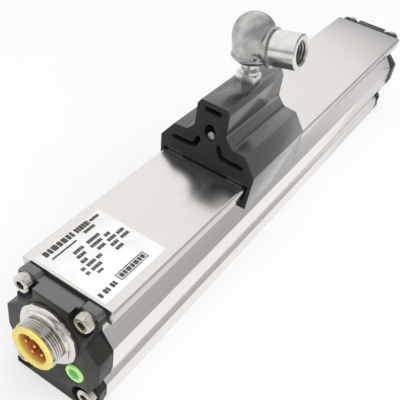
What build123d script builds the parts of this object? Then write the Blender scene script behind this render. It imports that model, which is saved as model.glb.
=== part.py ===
"""Linear displacement transducer: an extruded rail housing with a sliding magnet carriage.

Millimetres. X runs along the housing from the connector end to the rear end, Z is up,
and the origin is the middle of the housing's underside. The carriage stands where the
photograph shows it, a little towards the connector end, with its ball joint's threaded
shank pointing to -Y.
"""
import math
import os

from build123d import *

os.makedirs("parts", exist_ok=True)

# Housing section, all half widths measured from the middle plane
housing_length = 208.0
housing_height = 40.0
rail_half_width = 16.0
rail_edge_radius = 1.0
lip_thickness = 5.2
lip_bottom_half_width = 15.1
neck_half_width = 12.2
neck_height = 4.6
shoulder_half_width = 16.2
shoulder_drop = 5.2
side_face_height = 8.2
clamp_groove_half_width = 13.2
groove_slope_drop = 6.3
groove_wall_height = 1.9
foot_half_width = 14.6
foot_slope_rise = 1.6
section_edge_radius = 0.6

# Chamber inside the housing
chamber_half_width = 8.5
chamber_floor = 9.0
chamber_roof_wall = 4.5
chamber_corner_radius = 1.0
board_slot_depth = 1.0
board_slot_height = 16.0

# End caps, gaskets and their screws
cap_thickness = 5.6
cap_side_overhang = 0.3
cap_top_drop = 1.3
cap_bottom_rise = 0.3
cap_waist_inset = 1.0
cap_front_chamfer = 0.4
rear_cap_top_drop = 0.6
gasket_thickness = 0.8
gasket_inset = 0.4
screw_diameter = 3.0
screw_head_diameter = 5.5
screw_head_height = 3.0
screw_length = 10.0
screw_socket_across_flats = 2.5
screw_socket_depth = 1.4
screw_head_chamfer = 0.3
screw_tip_chamfer = 0.4
tapped_hole_spare = 2.0
top_screw_half_spacing = 10.4
top_screw_drop = 2.9
bottom_screw_half_spacing = 11.5
bottom_screw_height = 5.4
boss_radius = 3.7
pocket_radius = 4.4
screw_hole_clearance = 0.2
tapped_hole_clearance = 0.03

# Round connector on the front cap
connector_height = 26.2
connector_barrel_radius = 7.2
connector_barrel_length = 3.6
connector_wall = 1.5
connector_shoulder_step = 1.3
connector_shoulder_length = 0.9
connector_shoulder_chamfer = 0.4
connector_flange_step = 1.3
connector_flange_thickness = 2.0
connector_flange_chamfer = 0.6
connector_fit = 0.05
seal_gap = 0.6
seal_wire_radius = 0.5
seal_fit = 0.1
insert_lip_inset = 0.2
insert_lip_thickness = 0.8
insert_lip_chamfer = 0.3
insert_wall = 0.75
carrier_thickness = 3.0
carrier_depth = 5.4
key_rib_width = 1.2
key_rib_height = 0.7
key_rib_setback = 1.0
pin_diameter = 1.0
pin_nose_radius = 0.4
pin_reach = 4.4
pin_circle_radius = 3.0
pin_circle_turn = 20.0
pin_count = 5
pin_tail = 2.0

# Status light
led_radius = 3.0
led_flange_gap = 1.2
led_bearing = 37.0
led_stand_out = 0.5
led_dome_rise = 0.5
led_fit = 0.03

# Type label on the rail
label_length = 26.0
label_width = 24.6
label_thickness = 0.15
label_end_gap = 0.8
label_corner_radius = 0.8

# Sensing element inside the housing
element_width = 14.0
element_height = 7.0
element_front_gap = 14.0
element_rear_gap = 8.0
element_end_wall = 2.9
element_roof_clearance = 0.2
tube_radius = 2.0
tube_bore_radius = 1.2
tube_fit = 0.05
waveguide_radius = 0.35
waveguide_overrun = 9.0
pickup_length = 24.0
pickup_height = 6.0
pickup_width = 13.0
pickup_gap = 0.1
pickup_edge_chamfer = 0.5
damper_length = 9.0
damper_radius = 2.4
damper_wire_depth = 5.4
board_thickness = 1.6
board_length = 96.0
board_front_gap = 8.0
board_fit = 0.15

# Sliding carriage, drawn at the place that the photograph shows
carriage_length = 35.0
carriage_centre = -21.5
carriage_ceiling_gap = 0.5
carriage_side_clearance = 0.4
carriage_leg_thickness = 1.4
carriage_hook_thickness = 2.8
hook_tip_clearance = 0.6
hook_edge_chamfer = 0.5
carriage_bulge_height = 4.6
carriage_leg_taper = 0.8
carriage_shoulder_half_width = 13.4
carriage_shoulder_height = 10.8
column_root_half_width = 8.6
column_root_height = 11.1
column_half_width = 5.8
column_waist_height = 14.3
column_chamfer_height = 22.2
column_top_half_width = 4.7
column_root_radius = 2.4
carriage_height = 24.0
web_slot_width = 1.8
web_slot_points = [(3.8, 9.7), (4.9, 6.6), (8.6, 6.1), (12.7, 6.1)]
web_slot_bend = 1.2
top_slot_half_length = 2.2
top_slot_height = 21.4
bore_half_width = 2.1
bore_half_height = 3.2
bore_height = 13.4
glide_strip_width = 6.0
glide_strip_thickness = 1.0
glide_strip_offset = 11.5
glide_strip_clearance = 0.12
glide_strip_fit = 0.02
glide_strip_chamfer = 0.2
magnet_radius = 1.5
magnet_length = 33.0
magnet_fit = 0.05
magnet_end_chamfer = 0.25

# Ball joint on the carriage
stud_offset = 2.5
stud_thread_diameter = 5.0
stud_tip_chamfer = 0.6
hex_across_flats = 7.0
hex_height = 3.2
hex_corner_drop = 0.4
collar_radius = 3.2
collar_height = 1.4
collar_chamfer = 0.4
neck_radius = 2.0
ball_radius = 5.0
ball_centre_height = 12.8
seat_thickness = 0.8
joint_fit = 0.05
seat_mouth_radius = 3.5
socket_head_radius = 7.0
socket_dome_rise = 3.2
socket_bottom_drop = 5.0
socket_bottom_chamfer = 1.4
socket_tilt_limit = 15.0
socket_rest_tilt = 12.0
socket_mouth_clearance = 0.4
shank_radius = 5.6
shank_length = 16.2
shank_ring_radius = 6.3
shank_ring_start = 6.0
shank_ring_width = 0.9
shank_groove_width = 0.8
shank_groove_depth = 0.35
shank_end_chamfer = 0.4
shank_bore_radius = 3.4
shank_bore_depth = 8.5
shank_bore_chamfer = 0.7
clip_wire_radius = 0.4
clip_drop = 2.8
clip_seat_depth = 0.3
clip_gap_angle = 120.0
clip_eye_radius = 0.9
clip_eye_stand_off = 0.4
clip_fit = 0.03

# Places worked out from the sizes above
rail_top = housing_height
lip_underside = rail_top - lip_thickness
neck_bottom = lip_underside - neck_height
shoulder_height = neck_bottom - shoulder_drop
side_face_bottom = shoulder_height - side_face_height
groove_wall_top = side_face_bottom - groove_slope_drop
groove_wall_bottom = groove_wall_top - groove_wall_height
foot_height = groove_wall_bottom - foot_slope_rise
housing_front = -housing_length / 2
housing_rear = housing_length / 2
chamber_roof = rail_top - chamber_roof_wall
cap_front_back = housing_front - gasket_thickness
cap_front_face = cap_front_back - cap_thickness
cap_rear_back = housing_rear + gasket_thickness
screw_seat_thickness = cap_thickness - screw_head_height
connector_shoulder_radius = connector_barrel_radius + connector_shoulder_step
connector_flange_radius = connector_shoulder_radius + connector_flange_step
seal_ring_radius = connector_barrel_radius + seal_gap + seal_wire_radius
led_distance = connector_flange_radius + led_flange_gap + led_radius
led_y = -led_distance * math.sin(math.radians(led_bearing))
led_height = connector_height - led_distance * math.cos(math.radians(led_bearing))
top_screw_height = rail_top - top_screw_drop
screw_places = [
    (side * half, height)
    for half, height in [
        (top_screw_half_spacing, top_screw_height),
        (bottom_screw_half_spacing, bottom_screw_height),
    ]
    for side in (-1, 1)
]
carriage_front = carriage_centre - carriage_length / 2
carriage_ceiling = rail_top + carriage_ceiling_gap
leg_inner = rail_half_width + carriage_side_clearance
leg_outer = leg_inner + carriage_leg_thickness
leg_bottom_inner = lip_bottom_half_width + carriage_side_clearance
hook_top = lip_underside - carriage_side_clearance
hook_bottom = hook_top - carriage_hook_thickness
hook_tip = neck_half_width + hook_tip_clearance
carriage_top = rail_top + carriage_height
stud_thread_radius = stud_thread_diameter / 2
ball_x = carriage_centre + stud_offset
ball_z = carriage_top + ball_centre_height
seat_outer_radius = ball_radius + joint_fit + seat_thickness
socket_cavity_radius = seat_outer_radius + joint_fit


def mirrored(points):
    """A closed outline from its right half, top to bottom."""
    return points + [(-y, z) for y, z in reversed(points)]


def side_points(grow):
    """The housing's lower flank from the neck down to the foot, grown outwards."""
    return [
        (neck_half_width + grow, neck_bottom),
        (shoulder_half_width + grow, shoulder_height),
        (shoulder_half_width + grow, side_face_bottom),
        (clamp_groove_half_width + grow, groove_wall_top),
        (clamp_groove_half_width + grow, groove_wall_bottom),
        (foot_half_width + grow, foot_height),
    ]


# Housing: one aluminium extrusion, with the slide rail on top
with BuildPart() as housing:
    with BuildSketch(Plane.YZ.offset(housing_front)) as housing_section:
        with BuildLine():
            Polyline(
                mirrored(
                    [
                        (rail_half_width, rail_top),
                        (lip_bottom_half_width, lip_underside),
                        (neck_half_width, lip_underside),
                    ]
                    + side_points(0)
                    + [(foot_half_width, 0)]
                ),
                close=True,
            )
        make_face()
        rail_corners = housing_section.vertices().group_by(Axis.Y)[-1]
        fillet(rail_corners, rail_edge_radius)
        outer_corners = [
            v
            for v in housing_section.vertices()
            if any(
                abs(abs(v.X) - half) < 0.01 and abs(v.Y - height) < 0.01
                for half, height in [
                    (lip_bottom_half_width, lip_underside),
                    (shoulder_half_width, shoulder_height),
                    (shoulder_half_width, side_face_bottom),
                    (foot_half_width, foot_height),
                    (foot_half_width, 0),
                ]
            )
        ]
        fillet(outer_corners, section_edge_radius)
        with Locations((0, (chamber_floor + chamber_roof) / 2)):
            RectangleRounded(
                2 * chamber_half_width,
                chamber_roof - chamber_floor,
                chamber_corner_radius,
                mode=Mode.SUBTRACT,
            )
        with Locations((0, board_slot_height)):
            Rectangle(
                2 * (chamber_half_width + board_slot_depth),
                board_thickness + 2 * board_fit,
                mode=Mode.SUBTRACT,
            )
    extrude(amount=housing_length)
    thread_depth = screw_length - screw_seat_thickness - gasket_thickness + tapped_hole_spare
    tapped_radius = screw_diameter / 2 + tapped_hole_clearance
    with BuildSketch(Plane.YZ.offset(housing_front)):
        with Locations(*screw_places):
            Circle(tapped_radius)
    extrude(amount=thread_depth, mode=Mode.SUBTRACT)
    with BuildSketch(Plane.YZ.offset(housing_rear)):
        with Locations(*screw_places):
            Circle(tapped_radius)
    extrude(amount=-thread_depth, mode=Mode.SUBTRACT)

housing.part.label = "housing_extrusion"
export_step(housing.part, "parts/housing_extrusion.step")


def cap_outline(top):
    """The end cap's outline: flanks, bridge between the screws, and four round bosses."""
    with BuildSketch() as outline:
        with BuildLine():
            Polyline(
                mirrored(
                    [(neck_half_width - cap_waist_inset, neck_bottom)]
                    + side_points(cap_side_overhang)[1:]
                    + [(foot_half_width - cap_side_overhang, cap_bottom_rise)]
                ),
                close=True,
            )
        make_face()
        with Locations((0, (neck_bottom - cap_waist_inset + top) / 2)):
            Rectangle(2 * top_screw_half_spacing, top - neck_bottom + cap_waist_inset)
        with Locations(*screw_places[:2]):
            Circle(boss_radius)
            with Locations((0, -boss_radius)):
                Rectangle(2 * (neck_half_width - top_screw_half_spacing), 2 * boss_radius)
        with Locations((0, rail_top + boss_radius)):
            Rectangle(2 * shoulder_half_width, 2 * boss_radius, mode=Mode.SUBTRACT)
        with Locations((0, cap_bottom_rise - boss_radius)):
            Rectangle(2 * shoulder_half_width, 2 * boss_radius, mode=Mode.SUBTRACT)
    return outline.sketch


def cap_blank(back, direction, top):
    """A cap with its screw pockets, from its back plane outwards."""
    with BuildPart() as blank:
        with BuildSketch(Plane.YZ.offset(back)):
            add(cap_outline(top))
        extrude(amount=direction * cap_thickness)
        face_edges = blank.faces().sort_by(Axis.X)[0 if direction < 0 else -1].edges()
        long_edges = [e for e in face_edges if e.geom_type == GeomType.LINE and e.length > boss_radius]
        chamfer(long_edges, cap_front_chamfer)
        with BuildSketch(Plane.YZ.offset(back + direction * cap_thickness)):
            with Locations(*screw_places):
                Circle(pocket_radius)
        extrude(amount=-direction * screw_head_height, mode=Mode.SUBTRACT)
        with BuildSketch(Plane.YZ.offset(back)):
            with Locations(*screw_places):
                Circle(screw_diameter / 2 + screw_hole_clearance)
        extrude(amount=direction * cap_thickness, mode=Mode.SUBTRACT)
    return blank.part


# Front cap, bored for the connector and the status light
with BuildPart() as front_cap:
    add(cap_blank(cap_front_back, -1, rail_top - cap_top_drop))
    with BuildSketch(Plane.YZ.offset(cap_front_back)):
        with Locations((0, connector_height)):
            Circle(connector_barrel_radius + connector_fit)
        with Locations((led_y, led_height)):
            Circle(led_radius + led_fit)
    extrude(amount=-cap_thickness, mode=Mode.SUBTRACT)

front_cap.part.label = "front_end_cap"
export_step(front_cap.part, "parts/front_end_cap.step")

# Rear cap, blank
with BuildPart() as rear_cap:
    add(cap_blank(cap_rear_back, 1, rail_top - rear_cap_top_drop))

rear_cap.part.label = "rear_end_cap"
export_step(rear_cap.part, "parts/rear_end_cap.step")


def gasket_blank(start):
    """A flat gasket that follows the cap's outline, open over the chamber."""
    with BuildPart() as blank:
        with BuildSketch(Plane.YZ.offset(start)) as shape:
            add(cap_outline(rail_top - cap_top_drop))
            offset(amount=-gasket_inset)
            with Locations((0, (chamber_floor + chamber_roof) / 2)):
                RectangleRounded(
                    2 * chamber_half_width,
                    chamber_roof - chamber_floor,
                    chamber_corner_radius,
                    mode=Mode.SUBTRACT,
                )
            with Locations(*screw_places):
                Circle(screw_diameter / 2 + screw_hole_clearance, mode=Mode.SUBTRACT)
        extrude(amount=gasket_thickness)
    return blank.part


for name, start in [("front_gasket", cap_front_back), ("rear_gasket", housing_rear)]:
    gasket = gasket_blank(start)
    gasket.label = name
    export_step(gasket, "parts/" + name + ".step")

# Socket head cap screws, four at each end
with BuildPart() as screw:
    with BuildSketch(Plane.XY):
        Circle(screw_head_diameter / 2)
    extrude(amount=screw_head_height)
    chamfer(screw.faces().sort_by(Axis.Z)[-1].edges(), screw_head_chamfer)
    with BuildSketch(Plane.XY.offset(screw_head_height)):
        RegularPolygon(screw_socket_across_flats / 2, 6, major_radius=False)
    extrude(amount=-screw_socket_depth, mode=Mode.SUBTRACT)
    with BuildSketch(Plane.XY):
        Circle(screw_diameter / 2)
    extrude(amount=-screw_length)
    chamfer(screw.faces().sort_by(Axis.Z)[0].edges(), screw_tip_chamfer)


def screw_set(seat, direction):
    """Four screws with their heads' undersides on the seat plane."""
    placed = []
    for y, z in screw_places:
        spot = Plane(origin=(seat, y, z), x_dir=(0, 1, 0), z_dir=(direction, 0, 0))
        placed.append(spot.location * screw.part)
    return Compound(children=placed)


for name, seat, direction in [
    ("front_cap_screws", cap_front_back - screw_seat_thickness, -1),
    ("rear_cap_screws", cap_rear_back + screw_seat_thickness, 1),
]:
    group = screw_set(seat, direction)
    group.label = name
    export_step(group, "parts/" + name + ".step")

# Connector shell: flange, shoulder and threaded barrel, turned in one piece
connector_axis = Axis((0, 0, connector_height), (1, 0, 0))
flange_front = cap_front_face - connector_flange_thickness
shoulder_front = flange_front - connector_shoulder_length
barrel_front = shoulder_front - connector_barrel_length
shell_bore_radius = connector_barrel_radius - connector_wall
carrier_face = barrel_front - insert_lip_thickness + carrier_depth
carrier_back = carrier_face + carrier_thickness


def turned(points):
    """A ring turned about the connector's axis from (distance along X, radius) points."""
    with BuildPart() as ring:
        with BuildSketch(Plane.XZ):
            with BuildLine():
                Polyline([(x, connector_height + r) for x, r in points], close=True)
            make_face()
        revolve(axis=connector_axis)
    return ring.part


with BuildPart() as shell:
    add(
        turned(
            [
                (cap_front_back, shell_bore_radius),
                (cap_front_back, connector_barrel_radius),
                (cap_front_face, connector_barrel_radius),
                (cap_front_face, connector_flange_radius),
                (flange_front + connector_flange_chamfer, connector_flange_radius),
                (flange_front, connector_flange_radius - connector_flange_chamfer),
                (flange_front, connector_shoulder_radius),
                (shoulder_front, connector_shoulder_radius - connector_shoulder_chamfer),
                (shoulder_front, connector_barrel_radius),
                (barrel_front, connector_barrel_radius),
                (barrel_front, shell_bore_radius),
            ]
        )
    )
    with BuildSketch(Plane.YZ.offset(cap_front_face)):
        with Locations((0, connector_height)):
            Circle(seal_ring_radius + seal_wire_radius + seal_fit)
            Circle(seal_ring_radius - seal_wire_radius - seal_fit, mode=Mode.SUBTRACT)
    extrude(amount=-2 * seal_wire_radius, mode=Mode.SUBTRACT)

shell.part.label = "connector_shell"
export_step(shell.part, "parts/connector_shell.step")

# Seal ring in the flange's groove, resting on the cap's face
with BuildPart() as seal:
    with BuildSketch(Plane.XZ):
        with Locations((cap_front_face - seal_wire_radius, connector_height + seal_ring_radius)):
            Circle(seal_wire_radius)
    revolve(axis=connector_axis)

seal.part.label = "connector_seal"
export_step(seal.part, "parts/connector_seal.step")

# Moulded insert: a lip over the barrel's end and a sleeve inside the barrel
insert_sleeve_radius = shell_bore_radius - connector_fit
insert_bore_radius = insert_sleeve_radius - insert_wall
insert_lip_radius = connector_barrel_radius - insert_lip_inset
insert_front = barrel_front - insert_lip_thickness
with BuildPart() as insert:
    add(
        turned(
            [
                (insert_front, insert_bore_radius + insert_lip_chamfer),
                (insert_front, insert_lip_radius - insert_lip_chamfer),
                (insert_front + insert_lip_chamfer, insert_lip_radius),
                (barrel_front, insert_lip_radius),
                (barrel_front, insert_sleeve_radius),
                (carrier_back, insert_sleeve_radius),
                (carrier_back, insert_bore_radius),
                (insert_front + insert_lip_chamfer, insert_bore_radius),
            ]
        )
    )

insert.part.label = "connector_insert"
export_step(insert.part, "parts/connector_insert.step")

# Contact carrier: a disc at the foot of the socket, with the polarising rib
carrier_radius = insert_bore_radius - connector_fit
pin_bearings = [math.radians(step * 360 / pin_count + pin_circle_turn) for step in range(pin_count)]
pin_places = [(0, connector_height)] + [
    (
        pin_circle_radius * math.sin(bearing),
        connector_height + pin_circle_radius * math.cos(bearing),
    )
    for bearing in pin_bearings
]
with BuildPart() as contact_carrier:
    with BuildSketch(Plane.YZ.offset(carrier_face)):
        with Locations((0, connector_height)):
            Circle(carrier_radius)
    extrude(amount=carrier_thickness)
    with BuildSketch(Plane.YZ.offset(insert_front + key_rib_setback)):
        with Locations((0, connector_height + carrier_radius - key_rib_height / 2)):
            Rectangle(key_rib_width, key_rib_height)
        with Locations((0, connector_height)):
            Circle(carrier_radius, mode=Mode.INTERSECT)
    extrude(until=Until.NEXT)
    with BuildSketch(Plane.YZ.offset(carrier_face)):
        with Locations(*pin_places):
            Circle(pin_diameter / 2)
    extrude(amount=carrier_thickness, mode=Mode.SUBTRACT)

contact_carrier.part.label = "contact_carrier"
export_step(contact_carrier.part, "parts/contact_carrier.step")

# Six contact pins through the carrier, five round one
with BuildPart() as pin:
    with BuildSketch(Plane.YZ.offset(carrier_face - pin_reach)):
        Circle(pin_diameter / 2)
    extrude(amount=pin_reach + carrier_thickness + pin_tail)
    fillet(pin.faces().sort_by(Axis.X)[0].edges(), pin_nose_radius)
pins = Compound(children=[Pos(0, y, z) * pin.part for y, z in pin_places])
pins.label = "contact_pins"
export_step(pins, "parts/contact_pins.step")

# Status light: a domed lens pressed through the cap
led_front = cap_front_face - led_stand_out
with BuildPart() as led:
    with BuildSketch(Plane.XZ.offset(-led_y)):
        with BuildLine():
            lens = TangentArc(
                (led_front - led_dome_rise, led_height),
                (led_front, led_height + led_radius),
                tangent=(0, 1),
            )
            Polyline(
                lens @ 1,
                (cap_front_back, led_height + led_radius),
                (cap_front_back, led_height),
                lens @ 0,
            )
        make_face()
    revolve(axis=Axis((0, led_y, led_height), (1, 0, 0)))

led.part.label = "status_led"
export_step(led.part, "parts/status_led.step")

# Type label on the rail, at the connector end
with BuildPart() as label:
    with BuildSketch(Plane.XY.offset(rail_top)):
        with Locations((housing_front + label_end_gap + label_length / 2, 0)):
            RectangleRounded(label_length, label_width, label_corner_radius)
    extrude(amount=label_thickness)

label.part.label = "type_label"
export_step(label.part, "parts/type_label.step")

# Element carrier: a moulded channel under the chamber's roof, which holds the tube
element_front = housing_front + element_front_gap
element_length = housing_length - element_front_gap - element_rear_gap
element_top = chamber_roof - element_roof_clearance
element_bottom = element_top - element_height
tube_height = (element_top + element_bottom) / 2
tube_front = element_front + pickup_length + pickup_gap
tube_length = element_length - pickup_length - pickup_gap - damper_length - element_end_wall
tube_rear = tube_front + tube_length
with BuildPart() as element:
    with BuildSketch(Plane.YZ.offset(element_front)):
        with Locations((0, tube_height)):
            Rectangle(element_width, element_height)
    extrude(amount=element_length)
    with BuildSketch(Plane.YZ.offset(element_front)):
        with Locations((0, tube_height)):
            Rectangle(pickup_width + 2 * pickup_gap, pickup_height + 2 * pickup_gap)
    extrude(amount=pickup_length + pickup_gap, mode=Mode.SUBTRACT)
    with BuildSketch(Plane.YZ.offset(tube_front)):
        with Locations((0, tube_height)):
            Circle(tube_radius + tube_fit)
    extrude(amount=tube_length, mode=Mode.SUBTRACT)
    with BuildSketch(Plane.YZ.offset(tube_rear)):
        with Locations((0, tube_height)):
            Circle(damper_radius + tube_fit)
    extrude(amount=damper_length, mode=Mode.SUBTRACT)

element.part.label = "element_carrier"
export_step(element.part, "parts/element_carrier.step")

# Guide tube round the waveguide
with BuildPart() as tube:
    with BuildSketch(Plane.YZ.offset(tube_front)):
        with Locations((0, tube_height)):
            Circle(tube_radius)
            Circle(tube_bore_radius, mode=Mode.SUBTRACT)
    extrude(amount=tube_length)

tube.part.label = "waveguide_tube"
export_step(tube.part, "parts/waveguide_tube.step")

# Waveguide wire, from inside the pickup to inside the damper
waveguide_front = tube_front - waveguide_overrun
waveguide_length = waveguide_overrun + tube_length + damper_wire_depth
with BuildPart() as waveguide:
    with BuildSketch(Plane.YZ.offset(waveguide_front)):
        with Locations((0, tube_height)):
            Circle(waveguide_radius)
    extrude(amount=waveguide_length)

waveguide.part.label = "waveguide"
export_step(waveguide.part, "parts/waveguide.step")

# Pickup block, which reads the waveguide at the connector end
with BuildPart() as pickup:
    with BuildSketch(Plane.YZ.offset(element_front)):
        with Locations((0, tube_height)):
            Rectangle(pickup_width, pickup_height)
    extrude(amount=pickup_length)
    chamfer(pickup.edges().filter_by(Axis.X), pickup_edge_chamfer)
    with BuildSketch(Plane.YZ.offset(waveguide_front)):
        with Locations((0, tube_height)):
            Circle(waveguide_radius + tube_fit)
    extrude(amount=waveguide_overrun, mode=Mode.SUBTRACT)

pickup.part.label = "pickup_block"
export_step(pickup.part, "parts/pickup_block.step")

# Damper at the wire's far end, a soft sleeve
with BuildPart() as damper:
    with BuildSketch(Plane.YZ.offset(tube_rear)):
        with Locations((0, tube_height)):
            Circle(damper_radius)
    extrude(amount=damper_length - tube_fit)
    with BuildSketch(Plane.YZ.offset(tube_rear)):
        with Locations((0, tube_height)):
            Circle(waveguide_radius + tube_fit)
    extrude(amount=damper_wire_depth, mode=Mode.SUBTRACT)

damper.part.label = "damping_sleeve"
export_step(damper.part, "parts/damping_sleeve.step")

# Circuit board, slid into the slots of the chamber's walls
board_half_width = chamber_half_width + board_slot_depth - board_fit
with BuildPart() as board:
    with BuildSketch(Plane.XY.offset(board_slot_height - board_thickness / 2)):
        with Locations((housing_front + board_front_gap + board_length / 2, 0)):
            Rectangle(board_length, 2 * board_half_width)
    extrude(amount=board_thickness)

board.part.label = "circuit_board"
export_step(board.part, "parts/circuit_board.step")

# Sliding carriage: an extruded saddle whose legs hook under the rail's lips
with BuildPart() as carriage:
    with BuildSketch(Plane.YZ.offset(carriage_front)) as saddle:
        with BuildLine():
            Polyline(
                mirrored(
                    [
                        (column_top_half_width, carriage_top),
                        (column_half_width, rail_top + column_chamfer_height),
                        (column_half_width, rail_top + column_waist_height),
                        (column_root_half_width, rail_top + column_root_height),
                        (carriage_shoulder_half_width, rail_top + carriage_shoulder_height),
                        (leg_outer, rail_top + carriage_bulge_height),
                        (leg_outer - carriage_leg_taper, hook_bottom),
                        (hook_tip + hook_edge_chamfer, hook_bottom),
                        (hook_tip, hook_bottom + hook_edge_chamfer),
                        (hook_tip, hook_top),
                        (leg_bottom_inner, hook_top),
                        (leg_inner, carriage_ceiling),
                    ]
                ),
                close=True,
            )
        make_face()
        roots = [
            v
            for v in saddle.vertices()
            if abs(v.Y - rail_top - column_waist_height) < 0.01
            or abs(abs(v.X) - column_root_half_width) < 0.01
        ]
        fillet(roots, column_root_radius)
        for side in (-1, 1):
            with BuildLine(mode=Mode.PRIVATE) as web_path:
                FilletPolyline(
                    [(side * y, rail_top + z) for y, z in web_slot_points],
                    radius=web_slot_bend,
                )
            SlotArc(web_path.wires()[0], web_slot_width, mode=Mode.SUBTRACT)
        with Locations((0, rail_top + top_slot_height)):
            SlotCenterToCenter(2 * top_slot_half_length, web_slot_width, mode=Mode.SUBTRACT)
        with Locations((0, rail_top + bore_height)):
            Ellipse(bore_half_width, bore_half_height, mode=Mode.SUBTRACT)
        with Locations(
            *[
                (side * glide_strip_offset, carriage_ceiling + glide_strip_thickness / 2)
                for side in (-1, 1)
            ]
        ):
            Rectangle(glide_strip_width, glide_strip_thickness, mode=Mode.SUBTRACT)
    extrude(amount=carriage_length)
    with BuildSketch(Plane.XY.offset(carriage_top)):
        with Locations((ball_x, 0)):
            Circle(stud_thread_radius + tapped_hole_clearance)
    extrude(amount=-(carriage_height - bore_height), mode=Mode.SUBTRACT)

carriage.part.label = "slider_carriage"
export_step(carriage.part, "parts/slider_carriage.step")

# Two low-friction strips in the saddle's ceiling, which slide on the rail
strip_bottom = rail_top + glide_strip_clearance
with BuildPart() as glide_strip:
    with BuildSketch(Plane.YZ.offset(carriage_front)):
        with Locations((0, (strip_bottom + carriage_ceiling + glide_strip_thickness) / 2)):
            Rectangle(
                glide_strip_width - 2 * glide_strip_fit,
                carriage_ceiling + glide_strip_thickness - strip_bottom,
            )
    extrude(amount=carriage_length)
    chamfer(glide_strip.faces().sort_by(Axis.Z)[0].edges(), glide_strip_chamfer)
strips = Compound(
    children=[Pos(0, side * glide_strip_offset, 0) * glide_strip.part for side in (-1, 1)]
)
strips.label = "glide_strips"
export_step(strips, "parts/glide_strips.step")

# Position magnet: a plated rod that lies in the saddle's bore
magnet_height = rail_top + bore_height - bore_half_height + magnet_radius + magnet_fit
magnet_front = carriage_centre - magnet_length / 2
with BuildPart() as magnet:
    with BuildSketch(Plane.YZ.offset(magnet_front)):
        with Locations((0, magnet_height)):
            Circle(magnet_radius)
    extrude(amount=magnet_length)
    chamfer(magnet.edges().filter_by(GeomType.CIRCLE), magnet_end_chamfer)

magnet.part.label = "slider_magnet"
export_step(magnet.part, "parts/slider_magnet.step")

# Ball stud: thread, hexagon, collar, neck and ball in one turned piece
joint_axis = Axis((ball_x, 0, 0), (0, 0, 1))
stud_tip = magnet_height + magnet_radius + magnet_fit
hex_top = carriage_top + hex_height
collar_top = hex_top + collar_height
neck_drop = math.sqrt(ball_radius**2 - neck_radius**2)
with BuildPart() as stud:
    with BuildSketch(Plane.XZ):
        with BuildLine():
            ball_arc = ThreePointArc(
                (ball_x + neck_radius, ball_z - neck_drop),
                (ball_x + ball_radius, ball_z),
                (ball_x, ball_z + ball_radius),
            )
            Polyline(
                ball_arc @ 1,
                (ball_x, stud_tip),
                (ball_x + stud_thread_radius - stud_tip_chamfer, stud_tip),
                (ball_x + stud_thread_radius, stud_tip + stud_tip_chamfer),
                (ball_x + stud_thread_radius, hex_top),
                (ball_x + collar_radius, hex_top),
                (ball_x + collar_radius, collar_top - collar_chamfer),
                (ball_x + collar_radius - collar_chamfer, collar_top),
                (ball_x + neck_radius, collar_top),
                ball_arc @ 0,
            )
        make_face()
    revolve(axis=joint_axis)
    with BuildSketch(Plane.XY.offset(carriage_top)):
        with Locations((ball_x, 0)):
            RegularPolygon(hex_across_flats / 2, 6, major_radius=False)
    extrude(amount=hex_height)
    with BuildSketch(Plane.XZ):
        with BuildLine():
            Polyline(
                (ball_x + hex_across_flats / 2, hex_top),
                (ball_x + hex_across_flats, hex_top - 2 * hex_corner_drop),
                (ball_x + hex_across_flats, hex_top),
                close=True,
            )
        make_face()
    revolve(axis=joint_axis, mode=Mode.SUBTRACT)

stud.part.label = "ball_stud"
export_step(stud.part, "parts/ball_stud.step")

# Seat: a thin bearing shell between the ball and the socket
mouth_drop = math.sqrt(ball_radius**2 - seat_mouth_radius**2)
with BuildPart() as seat:
    Sphere(seat_outer_radius)
    Sphere(ball_radius + joint_fit, mode=Mode.SUBTRACT)
    with Locations((0, 0, -mouth_drop)):
        Cylinder(
            seat_outer_radius + 1,
            2 * seat_outer_radius,
            align=(Align.CENTER, Align.CENTER, Align.MAX),
            mode=Mode.SUBTRACT,
        )
seat_piece = Pos(ball_x, 0, ball_z) * seat.part
seat_piece.label = "ball_seat"
export_step(seat_piece, "parts/ball_seat.step")

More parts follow.
